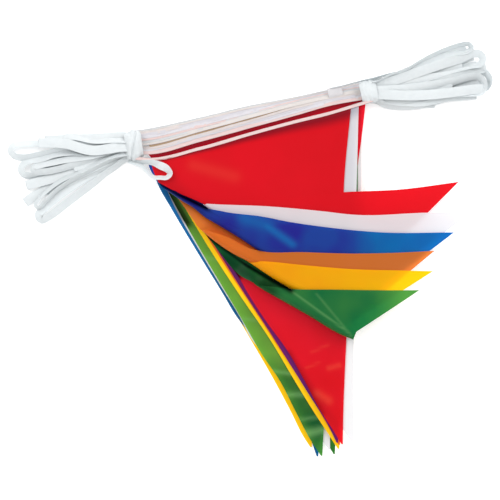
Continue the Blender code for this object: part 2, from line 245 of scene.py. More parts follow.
def makeFilm(name, group, first, second, turn, headShadeColour, behind, through):
    material, tree, place = startMaterial(f"film {name} {group}")
    wrinkles = addNoise(tree, place, film["wrinkleSize"], detail=3.0)
    bump = addNode(tree, "ShaderNodeBump",
                   {"Strength": film["wrinkleStrength"], "Distance": film["wrinkleDepth"] * mm},
                   {"Height": wrinkles.outputs["Fac"]})
    # painted sheen: soft patches that shift the film a little between its two tones
    sheenNoise = addNoise(tree, place, film["sheenPatchSize"], detail=1.0)
    sheenPatch = addNode(tree, "ShaderNodeMapRange",
                    {"From Min": film["sheenPatchRange"][0], "From Max": film["sheenPatchRange"][1]},
                    {"Value": sheenNoise.outputs["Fac"]})
    # and it changes toward its tip, which has fewer layers under it
    spot = addNode(tree, "ShaderNodeSeparateXYZ", {}, {0: place.outputs["Object"]})
    gain = addNode(tree, "ShaderNodeMapRange", {"From Min": turn[0] * mm, "From Max": turn[1] * mm},
                   {"Value": spot.outputs["X" if group == "folded" else "Y"]})
    amount = addNode(tree, "ShaderNodeMix", {0: film["sheenPatchShare"]},
                     {2: gain.outputs[0], 3: sheenPatch.outputs[0]})
    body = mixColours(tree, amount.outputs[0], linearFromHex(first), linearFromHex(second))
    # painted highlight: a paler line along each crease, where the raised film catches the light
    crease = addNode(tree, "ShaderNodeAttribute", {"attribute_name": "crease"})
    creaseHighlight = addNode(tree, "ShaderNodeMapRange", {"To Max": film["creaseHighlightStrength"]},
                   {"Value": crease.outputs["Fac"]})
    body = mixColours(tree, creaseHighlight.outputs[0], body, linearFromHex(film["creaseHighlight"].get(name, "#FFFFFF")))
    # painted shade along the head, where the film lies in the shade of its binding
    down = addNode(tree, "ShaderNodeSeparateXYZ", {}, {0: place.outputs["UV"]})
    headShade = addNode(tree, "ShaderNodeMapRange",
                  {"interpolation_type": "SMOOTHSTEP", "From Min": film["headShade"][0] * mm,
                   "From Max": film["headShade"][1] * mm},
                  {"Value": down.outputs["Y"]})
    face = mixColours(tree, headShade.outputs[0], linearFromHex(headShadeColour), body)
    # painted shade: the hollows between the layers turn near black, with less light through and less gloss
    paintedShade = addNode(tree, "ShaderNodeAttribute", {"attribute_name": "paintedShade"})
    colour = mixColours(tree, paintedShade.outputs["Fac"], face, film["paintedShadeColour"])
    passed = addNode(tree, "ShaderNodeMapRange", {"To Min": through, "To Max": 0.0},
                     {"Value": paintedShade.outputs["Fac"]})
    gloss = addNode(tree, "ShaderNodeMapRange", {"To Min": film["gloss"], "To Max": 0.0},
                    {"Value": paintedShade.outputs["Fac"]})
    surface = addNode(tree, "ShaderNodeBsdfPrincipled", {"Roughness": film["roughness"], "IOR": film["ior"]},
                      {"Base Color": colour, "Specular IOR Level": gloss.outputs[0],
                       "Normal": bump.outputs["Normal"]})
    glow = addNode(tree, "ShaderNodeBsdfTranslucent", {"Color": linearFromHex(behind)})
    both = addNode(tree, "ShaderNodeMixShader", {},
                   {0: passed.outputs[0], 1: surface.outputs[0], 2: glow.outputs[0]})
    addNode(tree, "ShaderNodeOutputMaterial", {}, {"Surface": both.outputs[0]})
    return material


films = {group: {name: makeFilm(name, group, *kind) for name, kind in film[group].items()}
         for group in ("folded", "flat")}

# Polyester tape, woven in fine cross ribs and heat set: a matt white that takes soft grey shading. Over a
# head the thin weave lets the film's colour through unevenly
tape = {
    "width": 14.0,
    "thickness": 0.35,
    "headThickness": 0.2,  # pressed flat over a head
    "roughness": 0.6,
    "ior": 1.5,
    "ribSize": 1.0,
    "ribDepth": 0.05,
    "ribStrength": 0.5,
    "ribUneven": 0.6,
    "through": 0.3,
    "mottleSize": 7.0,
    "crinkleSize": 9.0,
    "crinkleDepth": 0.9,
    "crinkleStrength": 0.7,
    "across": (-0.5, -0.475, -0.25, 0.0, 0.25, 0.475, 0.5),  # a strip's points, as shares of its width
    "cup": 0.5,
}


def makeTape(name, colour, second):
    material, tree, place = startMaterial(f"tape {name}")
    # the wave node makes 20 / tau bands in each unit at scale 1
    ribScale = math.tau / (20 * tape["ribSize"] * mm)
    ribs = addNode(tree, "ShaderNodeTexWave",
                   {"Scale": ribScale, "Distortion": tape["ribUneven"], "bands_direction": "Y"},
                   {"Vector": place.outputs["UV"]})
    ribBump = addNode(tree, "ShaderNodeBump",
                      {"Strength": tape["ribStrength"], "Distance": tape["ribDepth"] * mm},
                      {"Height": ribs.outputs["Fac"]})
    crinkles = addNoise(tree, place, tape["crinkleSize"], detail=2.0)
    bump = addNode(tree, "ShaderNodeBump",
                   {"Strength": tape["crinkleStrength"], "Distance": tape["crinkleDepth"] * mm},
                   {"Height": crinkles.outputs["Fac"], "Normal": ribBump.outputs["Normal"]})
    mottle = addNoise(tree, place, tape["mottleSize"], detail=2.0)
    tint = mixColours(tree, mottle.outputs["Fac"], linearFromHex(colour), linearFromHex(second))
    surface = addNode(tree, "ShaderNodeBsdfPrincipled", {"Roughness": tape["roughness"], "IOR": tape["ior"]},
                      {"Base Color": tint, "Normal": bump.outputs["Normal"]})
    glow = addNode(tree, "ShaderNodeBsdfTranslucent", {}, {"Color": tint})
    both = addNode(tree, "ShaderNodeMixShader", {0: tape["through"]},
                   {1: surface.outputs[0], 2: glow.outputs[0]})
    addNode(tree, "ShaderNodeOutputMaterial", {}, {"Surface": both.outputs[0]})
    return material


tapeWhite = makeTape("white", "#ECF0F1", "#E3E8EA")
tapeOver = {
    "red": makeTape("over red film", "#F0D8D2", "#E2CDCE"),
    "white": makeTape("over white film", "#E8E6EA", "#DCDAE0"),
    "blue": makeTape("over blue film", "#D8D6DE", "#DEDADD"),
    "orange": makeTape("over orange film", "#EADFDC", "#DED6D4"),
    "yellow": makeTape("over yellow film", "#EAE4E0", "#E0DAD8"),
    "green": makeTape("over green film", "#D6DADB", "#DEDCDE"),
    "turn": makeTape("over the bindings", "#E4E2E3", "#DAD8DB"),
}

# The pile, as the solids have it: layer 0 lies lowest, and the upper layers billow a little
pile = {
    "sheet": 1.0,
    "pitch": 1.4,
    "layers": 18,
    "looseLayer": 11,  # from this one up they billow
    "billow": 1.1,
    "billowMore": 0.3,  # for each layer above it
    "billowLength": (270.0, 330.0),
    "ripple": 0.8,
    "rippleSize": 85.0,
    "ownRipple": 0.25,
    "ownRippleSize": 46.0,
}

# The flaps: the lower halves of the front six pennants, folded up over the pile
fold = {
    "start": (-131.0, 96.0),  # a point on the line of the folds
    "slope": math.radians(-31.0),
    "lift": 4.5,  # near the folds
    "flapLift": 0.5,  # and far from them
    "liftReach": (6.0, 90.0),
    "flapLevels": (0.4, 3.4, 6.0, 8.0, 10.0, 12.0),
    "flapLifts": (0.0, 0.7, 1.0, 1.0, 1.0, 1.0),  # each flap's share of the lift
    "rippleMore": 1.6,
    "sink": (166.0, 330.0),  # along X, where the free tips curve down
    "sinkDepth": 20.0,
}


def layerHeight(layer, x, y):
    height = pile["sheet"] / 2 + layer * pile["pitch"]
    if layer >= pile["looseLayer"]:
        lengths = pile["billowLength"]
        swell = 0.5 + 0.5 * math.sin(math.tau * x / lengths[0]) * math.cos(math.tau * y / lengths[1])
        height += (pile["billow"] + pile["billowMore"] * (layer - pile["looseLayer"])) * swell
    shared = pile["ripple"] * layer / pile["layers"] * rippleAt(x, y, pile["rippleSize"], seeds["pile"])
    own = pile["ownRipple"] * rippleAt(x, y, pile["ownRippleSize"], layer + seeds["layer"]) * min(layer, 1)
    return height + shared + own


def flapHeight(order, x, y):
    slope = fold["slope"]
    inward = (x - fold["start"][0]) * -math.sin(slope) + (y - fold["start"][1]) * math.cos(slope)
    lift = fold["flapLift"] + (fold["lift"] - fold["flapLift"]) * (1 - smoothStep(*fold["liftReach"], inward))
    sink = fold["sinkDepth"] * smoothStep(*fold["sink"], x)
    top = layerHeight(pile["layers"] - 1, x, y)
    ripple = rippleAt(x, y, pile["ownRippleSize"], order + seeds["flap"])
    own = pile["ownRipple"] * fold["rippleMore"] * ripple * min(order, 1)
    return top + lift * fold["flapLifts"][order] - sink + fold["flapLevels"][order] + own


# The heads, from tie to tie: each binding's Y at the stations along X. The front six share one line
heads = {
    "width": 6.4,  # of each side of a binding
    "frontWidth": 5.2,  # the same for the front six
    "tuck": 2.6,  # how far a film goes into its binding
    "settled": 15.0,  # this far down a film lies on its layer
    "lean": math.radians(30.0),
    "leanRoom": 1.6,  # a low binding leans less, by the room under it
    "leanRipple": 0.16,
    "leanRippleSize": 34,
    "bulge": 0.42,
    "roundness": 4,  # of the bulge beside the fold
    "riseRipple": 0.22,
    "riseRippleSize": 6,
    "lowest": 0.9,
    "stations": (-150, -70, 0, 67, 112, 159),
    "front": (128.8, 144.2, 164.5, 182.8, 193.8, 208.0),
    "leftTie": (-166, 148),
    "rightTie": (174, 226),
    "climb": (-146, 157),  # along X, where the ends climb into the ties
    "drawnIn": (0.88, 0.75),
    "tieHeight": 17.4,
    "tieSpread": 0.7,  # from layer to layer inside a tie
}

# How the films are laid. The two powers gather their rows toward the head
sheets = {
    "length": 430,  # of a flat pennant as it lies
    "flatGather": 1.15,
    "foldedGather": 1.3,
    "tipWidth": 2.0,
    "closedGap": 0.1,  # share of the gap left where a fold closes
}

# Each flat one: its binding along the stations, the X of the head's corners, points on edges that aren't
# straight, and the tip
flatPennants = (
    {"colour": "red", "binding": (138.4, 156.8, 176.0, 194.3, 207.3, 215.8), "head": (-146, 165),
     "left": ((-116, 100), (-35, -14), (-17, -37), (-5, -58), (22, -100), (53, -143), (77, -185), (100, -228),
              (118, -256)),
     "right": ((160, 170), (152, 112), (137, -128), (132.5, -240)), "tip": (130, -276)},
    {"colour": "white", "binding": (140.9, 159.7, 178.9, 197.9, 210.0, 218.7), "head": (-128, 159),
     "right": ((158, 84), (147.6, -130), (147, -240)), "tip": (146, -276)},
    {"colour": "blue", "binding": (143.0, 162.5, 181.8, 201.2, 212.4, 220.8), "head": (-132, 157),
     "left": ((-41, -9), (-11, -57), (31, -121), (58, -164), (84, -206), (111, -249)), "tip": (123, -274)},
    {"colour": "orange", "binding": (145.4, 165.2, 184.8, 204.2, 214.5, 223.0), "head": (-135, 156),
     "left": ((-47, -4), (25, -114), (106, -242)), "tip": (126, -277)},
    {"colour": "yellow", "binding": (151.8, 171.4, 190.3, 208.0, 217.9, 225.8), "head": (-145, 155),
     "left": ((-54, -4), (-14, -65), (29, -128), (66, -190), (90, -229), (105, -252)), "tip": (125, -283)},
    {"colour": "green", "binding": (154.8, 174.0, 192.0, 209.4, 219.3, 228.0), "head": (-146, 150),
     "left": ((-113, 76), (-99.5, 51), (-68, -4), (-19, -86), (18, -150), (43, -187), (65, -230), (86, -270)),
     "right": ((105, -253),), "tip": (101, -293)},
    {"colour": "red", "binding": (158.2, 176.9, 194.3, 211.0, 220.8, 229.5), "head": (-144, 150),
     "tip": (98, -270)},
    {"colour": "white", "binding": (161.2, 179.5, 196.8, 212.1, 222.1, 231.0), "head": (-146, 150),
     "left": ((-109, 65), (-70, -4), (-43, -49), (-12, -100), (-1, -122), (18, -147), (48, -189), (80, -240)),
     "right": ((114, -250),), "tip": (112, -284)},
    {"colour": "blue", "binding": (163.6, 181.8, 198.8, 213.3, 223.2, 232.5), "head": (-146, 150),
     "left": ((-131, 93), (-112, 59), (-75, -3), (-40, -60), (-19, -95), (2, -122), (19, -145), (50, -194),
              (72, -234), (86, -268)), "tip": (95, -294)},
    {"colour": "orange", "binding": (165.8, 183.7, 200.3, 214.3, 224.1, 233.6), "head": (-145, 148),
     "left": ((-66, -4), (9, -121), (64, -214)), "tip": (103, -272)},
    {"colour": "yellow", "binding": (167.5, 185.0, 201.7, 215.1, 224.8, 234.3), "head": (-145, 145),
     "left": ((-70, -4), (-3, -121), (34, -185), (57, -228), (78, -269)), "tip": (86, -281)},
    {"colour": "green", "binding": (169.0, 186.1, 202.9, 215.6, 225.5, 235.2), "head": (-144, 148),
     "tip": (119, -291)},
)

# Each folded one: points on its edges down to the fold, the fold, how its left end turns over, the flap's
# upper edge and the tip. The left end is slanted by a share of the fold, and within a reach the two halves
# close in on a level between them
foldedPennants = (
    {"colour": "red", "head": (-141, 143), "left": ((-137, 112),), "right": ((133, 84),),
     "fold": ((-130, 96), (-104, 82), (-76, 70), (137, -62)), "turn": (0.03, 26, 0.5),
     "flap": ((-52, 75), (43, 74), (134, 82), (214, 86)), "tip": (297, 97)},
    {"colour": "white", "head": (-137, 154), "right": ((151, 84),),
     "fold": ((-68, 65.5), (-56, 56.5), (143, -77)), "turn": (0.02, 0, 0),
     "flap": ((-52, 65), (23, 62), (102, 55), (147, 50), (251, 53)), "tip": (315, 54)},
    {"colour": "blue", "head": (-146, 150), "left": ((-142, 115),), "right": ((148, 84),),
     "fold": ((-126, 90), (-97, 70), (-79, 59), (-66, 48), (-46, 36), (-18, 19), (12, -1), (143, -89)),
     "turn": (0.03, 24, 0.2),
     "flap": ((-87, 69), (-73, 60), (-57, 58), (-30, 53), (19, 47), (43, 42), (102, 33), (185, 25)),
     "tip": (290, 25)},
    {"colour": "orange", "head": (-145, 150), "left": ((-100, 70), (-87, 52)), "right": ((148, 84),),
     "fold": ((-76, 34), (-52, 14), (-26, -4), (-5, -15), (72, -57), (143, -103)), "turn": (0.06, 30, 0.45),
     "flap": ((-39, 21), (-6, 4), (18, -2), (72, -3), (143, -5), (228, -3)), "tip": (262, -1)},
    {"colour": "yellow", "head": (-145, 150), "left": ((-97, 72), (-53, 21)), "right": ((148, 84),),
     "fold": ((-16, -8), (-2, -17), (34, -41), (57, -55), (143, -109)), "turn": (0.16, 0, 0),
     "flap": ((18, -16), (72, -21), (143, -27), (214, -29)), "tip": (260, -30)},
    {"colour": "green", "head": (-145, 152),
     "left": ((-100, 69), (-63, 22), (-43, -3), (-25, -26), (-13, -37)), "right": ((153, 84),),
     "fold": ((4, -47), (18, -56), (46, -72), (83, -93), (131, -121), (146, -127)), "turn": (0.08, 34, 0.5),
     "flap": ((57, -55), (114, -56), (192, -57)), "tip": (240, -57)},
)

# creases, raised where they lie on a flat pennant or a flap, painted as highlights: pennant, from, to,
# height, width
creases = (
    (3, (-10, 44), (28, 34), 0.5, 9.0),
    (3, (24, 34), (60, 8), 0.8, 6.0),
    (1, (-80, 120), (-22, 104), 0.3, 9.0),
    (6, (57, -57), (140, -117), 0.45, 1.6),
    (6, (94, -62), (143, -121), 0.3, 1.6),
    (7, (87, -146), (112, -134), 0.4, 1.6),
    (7, (80, -168), (98, -160), 0.35, 2.0),
    (7, (112, -168), (127, -164), 0.6, 3.5),
    (7, (96, -204), (112, -214), 0.6, 6.0),
    (12, (-70, -10), (-40, -14), 0.4, 3.0),
    (12, (-16, -98), (16, -100), 0.4, 3.0),
    (12, (28, -172), (58, -176), 0.6, 3.0),
    (12, (48, -206), (84, -206), 0.65, 4.0),
    (12, (64, -242), (98, -238), 0.5, 3.0),
    (12, (78, -262), (104, -256), 0.8, 6.0),
)

# painted shade in the hollows between the layers, where little light comes: pennant, from, to, how dark,
# width
paintedHollowShades = (
    (3, (-128, 94), (-100, 78), 0.95, 5.0),
    (3, (-102, 79), (-60, 58), 1.0, 4.5),
    (3, (-122, 84), (-70, 52), 0.4, 8.0),
    (4, (-96, 72), (-44, 37), 0.6, 5.0),
    (4, (-44, 37), (16, 0), 0.75, 5.0),
    (4, (4, 5), (28, 0), 0.9, 3.5),
    (6, (-64, 22), (-8, -20), 0.9, 4.0),
    (6, (-8, -20), (30, -42), 1.0, 4.5),
    (6, (30, -42), (58, -57), 1.0, 5.5),
    (6, (-38, -12), (30, -58), 0.7, 13.0),
    (7, (-104, 76), (-16, -38), 1.0, 6.0),
    (7, (54, -148), (102, -232), 0.55, 6.0),
    (12, (-118, 88), (-90, 38), 1.0, 9.0),
    (14, (-122, 92), (-96, 46), 0.7, 8.0),
    (15, (-140, 120), (-116, 74), 0.35, 8.0),
    (15, (82, -268), (95, -294), 0.45, 9.0),
)


def strokeAt(strokes, number, x, y):
    # soft strokes from point to point, faded at their sides and ends, the strongest one counts
    strongest = 0.0
    for owner, start, end, amount, width in strokes:
        if owner != number:
            continue
        a, b, p = Vector(start), Vector(end), Vector((x, y))
        t = min(max((p - a).dot(b - a) / (b - a).length_squared, 0.0), 1.0)
        off = (p - a - (b - a) * t).length
        strongest = max(strongest, amount * math.exp(-(off / width) ** 2))
    return strongest


def markStrokes(sheet, number, name, strokes):
    # the strokes as a value at each vertex, for the film's material
    marks = sheet.data.attributes.new(name, "FLOAT", "POINT")
    for vertex, mark in zip(sheet.data.vertices, marks.data):
        mark.value = strokeAt(strokes, number, vertex.co.x / mm, vertex.co.y / mm)


def bindingLine(heights):
    # the middle of a binding, with its ends run into the two ties
    ends = [Vector((x, y + (height - y) * share))
            for (x, y), height, share in zip((heads["leftTie"], heads["rightTie"]), (heights[0], heights[-1]),
                                             heads["drawnIn"])]
    return routeThrough((ends[0], *zip(heads["stations"], heights), ends[1]))


def headLine(heights, head):
    # the pennant's upper edge, tucked into its binding
    line = bindingLine(heights)
    steps = 80
    samples = [line(i / steps) for i in range(steps + 1)]
    below = heads["width"] / 2 - heads["tuck"]

    def at(share):
        x = head[0] + (head[1] - head[0]) * share
        after = next(i for i in range(1, steps + 1) if samples[i].x >= x or i == steps)
        a, b = samples[after - 1], samples[after]
        along = (b - a).normalized()
        return a + (b - a) * ((x - a.x) / (b.x - a.x)) + Vector((along.y, -along.x)) * below

    return at


def headRise(down):
    # the bindings lean, so a sheet comes out of its binding a little high and then sinks to its layer
    tuck = heads["tuck"]
    lifted = math.sin(heads["lean"]) * (heads["width"] / 2 - tuck + min(down, tuck))
    return lifted * (1 - smoothStep(tuck, heads["settled"], down))


def tipLine(tip, toward):
    side = (Vector(toward) - Vector(tip)).normalized() * sheets["tipWidth"]
    return lambda share: Vector(tip) + side * share


def surfaceBetween(top, bottom, data):
    # the surface down to a lower edge, through the points on its left and right edges
    return patchBetween(top, bottom, routeThrough((top(0), *data.get("left", ()), bottom(0))),
                        routeThrough((top(1), *data.get("right", ()), bottom(1))))


def layFlat(number, data):
    layer = pile["layers"] - number
    x, y = data["tip"]
    bottom = tipLine((x, y), (x + 1, y))
    surface = surfaceBetween(headLine(data["binding"], data["head"]), bottom, data)
    columns, rows = 44, 160

    def place(column, row):
        share = (row / rows) ** sheets["flatGather"]
        point = surface(column / columns, share)
        rise = headRise(share * sheets["length"]) + strokeAt(creases, number, point.x, point.y)
        return atHeight(point, layerHeight(layer, point.x, point.y) + rise)

    return lambda mesh: addGrid(mesh, columns, rows, place)


def layFolded(number, data):
    layer = pile["layers"] - number
    order = number - 1
    columns, bodyRows, bendRows, flapRows = 84, 50, 14, 80
    foldAt = routeThrough(data["fold"])
    slant, reach, meet = data["turn"]
    corner = foldAt(0)

    def levels(x, y):
        low, high = layerHeight(layer, x, y), flapHeight(order, x, y)
        if reach:
            gap = sheets["closedGap"]
            apart = gap + (1 - gap) * smoothStep(0, reach, math.hypot(x - corner.x, y - corner.y))
            middle = low + (high - low) * meet
            low, high = middle + (low - middle) * apart, middle + (high - middle) * apart
        return low, high

    def outward(share):
        along = directionAt(foldAt, share, step=0.02).normalized()
        return Vector((along.y, -along.x))

    def radius(share):
        low, high = levels(*foldAt(share))
        return (high - low) / 2

    def spring(share):
        return foldAt(share) - outward(share) * radius(share)

    def over(share):
        return spring(slant + (1 - slant) * share)

    top = headLine(heads["front"], data["head"])
    body = surfaceBetween(top, spring, data)
    end = tipLine(data["tip"], over(1))
    flap = patchBetween(over, end, routeThrough((over(0), *data["flap"], end(0))),
                        routeThrough((over(1), end(1))))
    depth = (top(0.5) - spring(0.5)).length

    def place(column, row):
        share = column / columns
        if row <= bodyRows:
            down = (row / bodyRows) ** sheets["foldedGather"]
            point = body(share, down)
            return atHeight(point, levels(point.x, point.y)[0] + headRise(down * depth))
        if row >= bodyRows + bendRows:
            point = flap(share, (row - bodyRows - bendRows) / flapRows)
            return atHeight(point, levels(point.x, point.y)[1] + strokeAt(creases, number, point.x, point.y))
        part = (row - bodyRows) / bendRows
        share = share + slant * part * (1 - share)
        start = spring(share)
        low, high = levels(start.x, start.y)
        point = start + outward(share) * radius(share) * math.sin(math.pi * part)
        return atHeight(point, (low + high) / 2 - (high - low) / 2 * math.cos(math.pi * part))

    return lambda mesh: addGrid(mesh, columns, bodyRows + bendRows + flapRows, place)


def layBinding(number, heights):
    # the tape folded over a head: down the front, over the edge and down the back
    layer = pile["layers"] - number
    middle = bindingLine(heights)
    columns, rows = 12, 96
    width = heads["width"] if number > len(foldedPennants) else heads["frontWidth"]
    lean = min(heads["lean"], math.asin(min(layer * pile["pitch"] / width * heads["leanRoom"], 1.0)))

    def place(column, row):
        share = row / rows
        along = directionAt(middle, share, step=0.01).normalized()
        side = 2 * column / columns - 1
        reach = width * (0.5 - abs(side))
        swell = math.copysign(min(1.0, abs(side) * heads["roundness"]) ** 0.5, -side) if side else 0.0
        point = middle(share)
        ripple = rippleAt(point.x, point.y, heads["leanRippleSize"], number + seeds["bindingLean"])
        turn = lean + heads["leanRipple"] * ripple
        height = layerHeight(layer, point.x, point.y) - reach * math.sin(turn)
        inTie = 1 - smoothStep(heads["leftTie"][0], heads["climb"][0], point.x)
        inTie += smoothStep(heads["climb"][1], heads["rightTie"][0], point.x)
        height += (heads["tieHeight"] + (layer - pile["layers"] / 2) * heads["tieSpread"] - height) * inTie
        point = point + Vector((-along.y, along.x)) * (reach * math.cos(turn))
        ripple = rippleAt(point.x, point.y, heads["riseRippleSize"], number + seeds["bindingRise"])
        rise = heads["riseRipple"] * ripple
        return atHeight(point, max(height, heads["lowest"]) + heads["bulge"] * swell + rise)

    return lambda mesh: addGrid(mesh, columns, rows, place)


print("pennants and bindings")
for number, data in enumerate((*foldedPennants, *flatPennants), 1):
    folded = "fold" in data
    colour = data["colour"]
    look = films["folded" if folded else "flat"]["blue over red" if number == film["overRed"] else colour]
    sheet = newPiece(f"pennant{number:02d}", (layFolded if folded else layFlat)(number, data), 0, look,
                     [f"pennant_{number:02d}_{colour}"])
    # painted shade in the hollows and painted highlight along the creases, kept at each vertex for the film
    markStrokes(sheet, number, "paintedShade", paintedHollowShades)
    markStrokes(sheet, number, "crease", creases)
    edge = newPiece(f"binding{number:02d}", layBinding(number, data.get("binding", heads["front"])),
                    tape["headThickness"], tapeOver[colour], [f"binding_{number:02d}"])

# The hanks. A loop has its tape's lean on the way, in degrees, and a route of x, y and height. One with a
# drop turns over at the end and comes back that far below itself. The fan fills the bundle under the loops
# with strands to x, y and height, each with its lean
leftHank = {
    "neck": (-166, 148, 17.4),
    "mouth": 13.0,
    "fan": ((-290, 156, 16, 14), (-262, 153, 18, 10), (-268, 143, 11, 4), (-304, 121, 5.5, 6),
            (-303, 113, 5, 3), (-298, 101, 5, 8), (-296, 91, 5, 4), (-289, 84, 6, 10), (-262, 128, 14, 6),
            (-250, 118, 14, 10), (-252, 104, 10, 14)),
    "loops": (
        {"leans": (62, 52, 46, 50, 48, 46, 52, 60), "route": (
            (-186, 156, 20), (-226, 156, 19), (-243, 160, 18), (-257, 161.5, 17), (-276, 155, 13),
            (-300, 151.5, 9), (-326, 151, 7.5), (-337, 148.5, 7), (-341.5, 142, 7), (-337, 134.5, 7),
            (-325, 131.5, 7.5), (-300, 135, 9), (-270, 141, 11), (-235, 145, 13), (-186, 146, 15))},
        {"leans": (10, 4, 2, 4), "drop": 6, "route": (
            (-186, 146, 22), (-200, 143.5, 24), (-227, 141.5, 25), (-242, 145, 25), (-257, 150, 24),
            (-275, 152, 22), (-298, 152.3, 20))},
        {"leans": (56, 50, 48, 44, 50, 54, 52), "route": (
            (-186, 145, 17), (-226, 138, 15), (-257, 139, 13), (-279, 136.3, 11), (-298, 130, 9),
            (-315, 127, 7.5), (-324, 121, 7), (-326.5, 114, 7), (-323, 108, 7), (-314, 105.5, 7),
            (-296, 108, 8), (-276, 112, 9.5), (-257, 119, 11), (-234, 127, 13), (-186, 141, 16))},
        {"leans": (24, 30, 34, 30, 26), "width": 11, "route": (
            (-186, 143, 20), (-230, 133, 19), (-257, 129, 17.5), (-280, 124.5, 16), (-300, 120, 15),
            (-309, 116, 14.5), (-307, 112, 14), (-296, 111, 14.5), (-276, 114, 15.5), (-250, 121, 17),
            (-186, 141, 18))},
        {"leans": (14, 6, 4), "drop": 4, "route": (
            (-186, 139, 16), (-230, 121, 13), (-257, 110, 11), (-276, 103.5, 9.5), (-296, 98, 8.5),
            (-317, 92.5, 7.5))},
        {"leans": (20, 8, 3), "drop": 3.4, "route": (
            (-186, 134, 14), (-209, 118, 11), (-244, 103, 8.5), (-276, 94, 7), (-296, 83, 6),
            (-310, 75, 5.6), (-319, 68.5, 5.5))},
        {"leans": (50, 58, 62, 60, 56), "width": 12, "route": (
            (-186, 136, 19), (-241, 112, 17), (-269, 98.5, 16), (-290, 83, 15), (-303, 69, 13.5),
            (-305.5, 63, 13), (-301, 60, 13), (-293, 67, 14), (-277, 83, 15), (-255, 98, 16),
            (-225, 113, 17), (-186, 133, 18))},
        {"leans": (30, 16, 12, 14, 30, 40, 42, 44, 52, 60), "route": (
            (-184, 133, 15), (-209, 117, 12), (-234, 103, 10), (-257, 88.5, 8.5), (-279, 72, 7.5),
            (-292, 60, 7), (-301.5, 49, 6.6), (-298, 43, 6.4), (-287, 47.5, 6.4), (-267, 62, 6.8),
            (-247, 77, 7.6), (-224, 94, 9.5), (-206, 108.5, 11.5), (-190, 119.5, 13), (-180, 127, 14.5))},
    ),
}
rightHank = {
    "neck": (174, 226, 17.4),
    "mouth": 12.0,
    "fan": ((306, 286, 12, 6), (316, 276, 10, 10), (322, 262, 8, 4), (328, 250, 6, 8), (330, 240, 5.5, 4),
            (326, 229, 5.5, 6), (304, 221, 6, 4), (276, 218, 7, 10), (262, 209, 7, 12), (300, 262, 14, 8),
            (286, 236, 15, 4), (262, 226, 15, 6)),
    "loops": (
        {"leans": (80, 74, 68, 66, 66, 58, 30, 14, 8, 8), "route": (
            (180, 238, 20), (199, 247.5, 21), (220, 254.5, 22), (241, 266.5, 22), (262, 277.5, 21),
            (283, 286.6, 20), (300, 291.6, 19), (311, 292, 18), (315, 287, 17.5), (308, 282.5, 17),
            (290, 280, 17), (265, 272, 18), (240, 260.5, 19), (210, 246, 19), (182, 234, 18))},
        {"leans": (6, 8, 14, 34, 56, 50, 30, 12), "route": (
            (182, 234, 19), (220, 246, 20), (249, 256, 21), (276, 265, 20), (300, 272, 19), (318, 279, 18),
            (328, 277.5, 17), (331, 271, 16), (327, 264.5, 15.5), (316, 262, 15), (290, 256, 13),
            (250, 244, 13), (186, 229, 15))},
        {"leans": (8, 4, 10), "drop": 6, "route": (
            (182, 230, 19), (220, 237, 18), (255, 243.5, 17), (283, 247.5, 17), (311, 254, 16),
            (333, 259, 15))},
        {"leans": (10, 14, 30, 56, 60, 50, 20), "route": (
            (182, 226, 17), (249, 236, 13), (292, 244, 12), (322, 252, 12), (336, 251, 11.5), (341, 242, 11),
            (337, 231, 10), (325, 226, 9), (300, 225, 8), (250, 221, 10), (186, 219, 14))},
        {"leans": (6, 10, 30, 52, 56, 40, 14), "route": (
            (182, 226, 20), (249, 232, 18), (290, 240, 17), (314, 246, 17), (324, 246.5, 16.5),
            (331, 240, 16), (333, 232, 15.5), (329, 224.5, 14.5), (312, 222.5, 13), (260, 220, 13),
            (186, 219, 15))},
        {"leans": (8, 2, 4, 8), "drop": 6, "route": (
            (182, 221, 20), (249, 220, 22), (292, 224.5, 20), (318, 228, 18), (330, 229, 16.5))},
        {"leans": (20, 12, 8, 10), "drop": 5, "route": (
            (182, 216, 17), (220, 211, 16), (250, 211.5, 14), (276, 217.5, 12), (300, 219.5, 11),
            (320, 221, 10))},
        {"leans": (52, 50, 46, 50, 30), "route": (
            (178, 213, 17), (192, 206.5, 14.5), (220, 203.5, 11), (241, 205.5, 9.5), (258, 209.5, 8.5),
            (276, 215, 8), (288, 219, 8), (284, 223, 8.5), (262, 219, 9.5), (220, 213, 12), (184, 216, 15))},
    ),
    "runOver": {"leans": (82, 78, 74, 78), "width": 9.0, "route": (
        (114, 229.6, 12.5), (128, 232.4, 13), (143, 236, 15), (158, 239.8, 18), (174, 243.2, 20),
        (190, 247.5, 21), (206, 252, 21))},
}

# How the strands of both hanks run
strands = {
    "inTie": (-0.2, 0.85, 0.7),  # offset from the neck in the tie, as shares of the one outside
    "mouthReach": (12.0, 58.0),  # from the neck, where the extra height wears off
    "mouthSpread": 1.3,
    "lowest": 3.0,
    "unevenLean": 7,
    "steps": {"loop": 90, "drop": 44, "runOver": 40},
    "bendSteps": 8,
    "partSteps": 26,  # from the tie until the way back lies fully below
}

# How a fan's strands start in the tie and run to their ends
fan = {"start": 12, "below": 2.0, "marks": (0.0, 0.3, 0.65, 1.0), "sag": 0.8, "leanMore": 6, "drop": 3.5}


def acrossTape(along, lean):
    flat = Vector((-along.y, along.x, 0.0)).normalized()
    return flat * math.cos(lean) + Vector((0.0, 0.0, math.sin(lean)))


def alongValues(values, share):
    # the value at a share of the way through a few evenly spaced ones
    spot = share * (len(values) - 1)
    low = min(int(spot), max(len(values) - 2, 0))
    high = min(low + 1, len(values) - 1)
    return values[low] + (values[high] - values[low]) * (spot - low)


def framesAlong(points, leans, steps, seed):
    # the middle of a tape and the direction across it, on its way through the points
    line = routeThrough(points)
    frames = []
    for i in range(steps + 1):
        share = i / steps
        along = directionAt(line, share, step=0.008)
        uneven = strands["unevenLean"] * noise.noise(Vector((share * 4, seed, 3.0)))
        lean = alongValues(leans, share) + uneven
        frames.append((line(share), acrossTape(along, math.radians(lean))))
    return frames


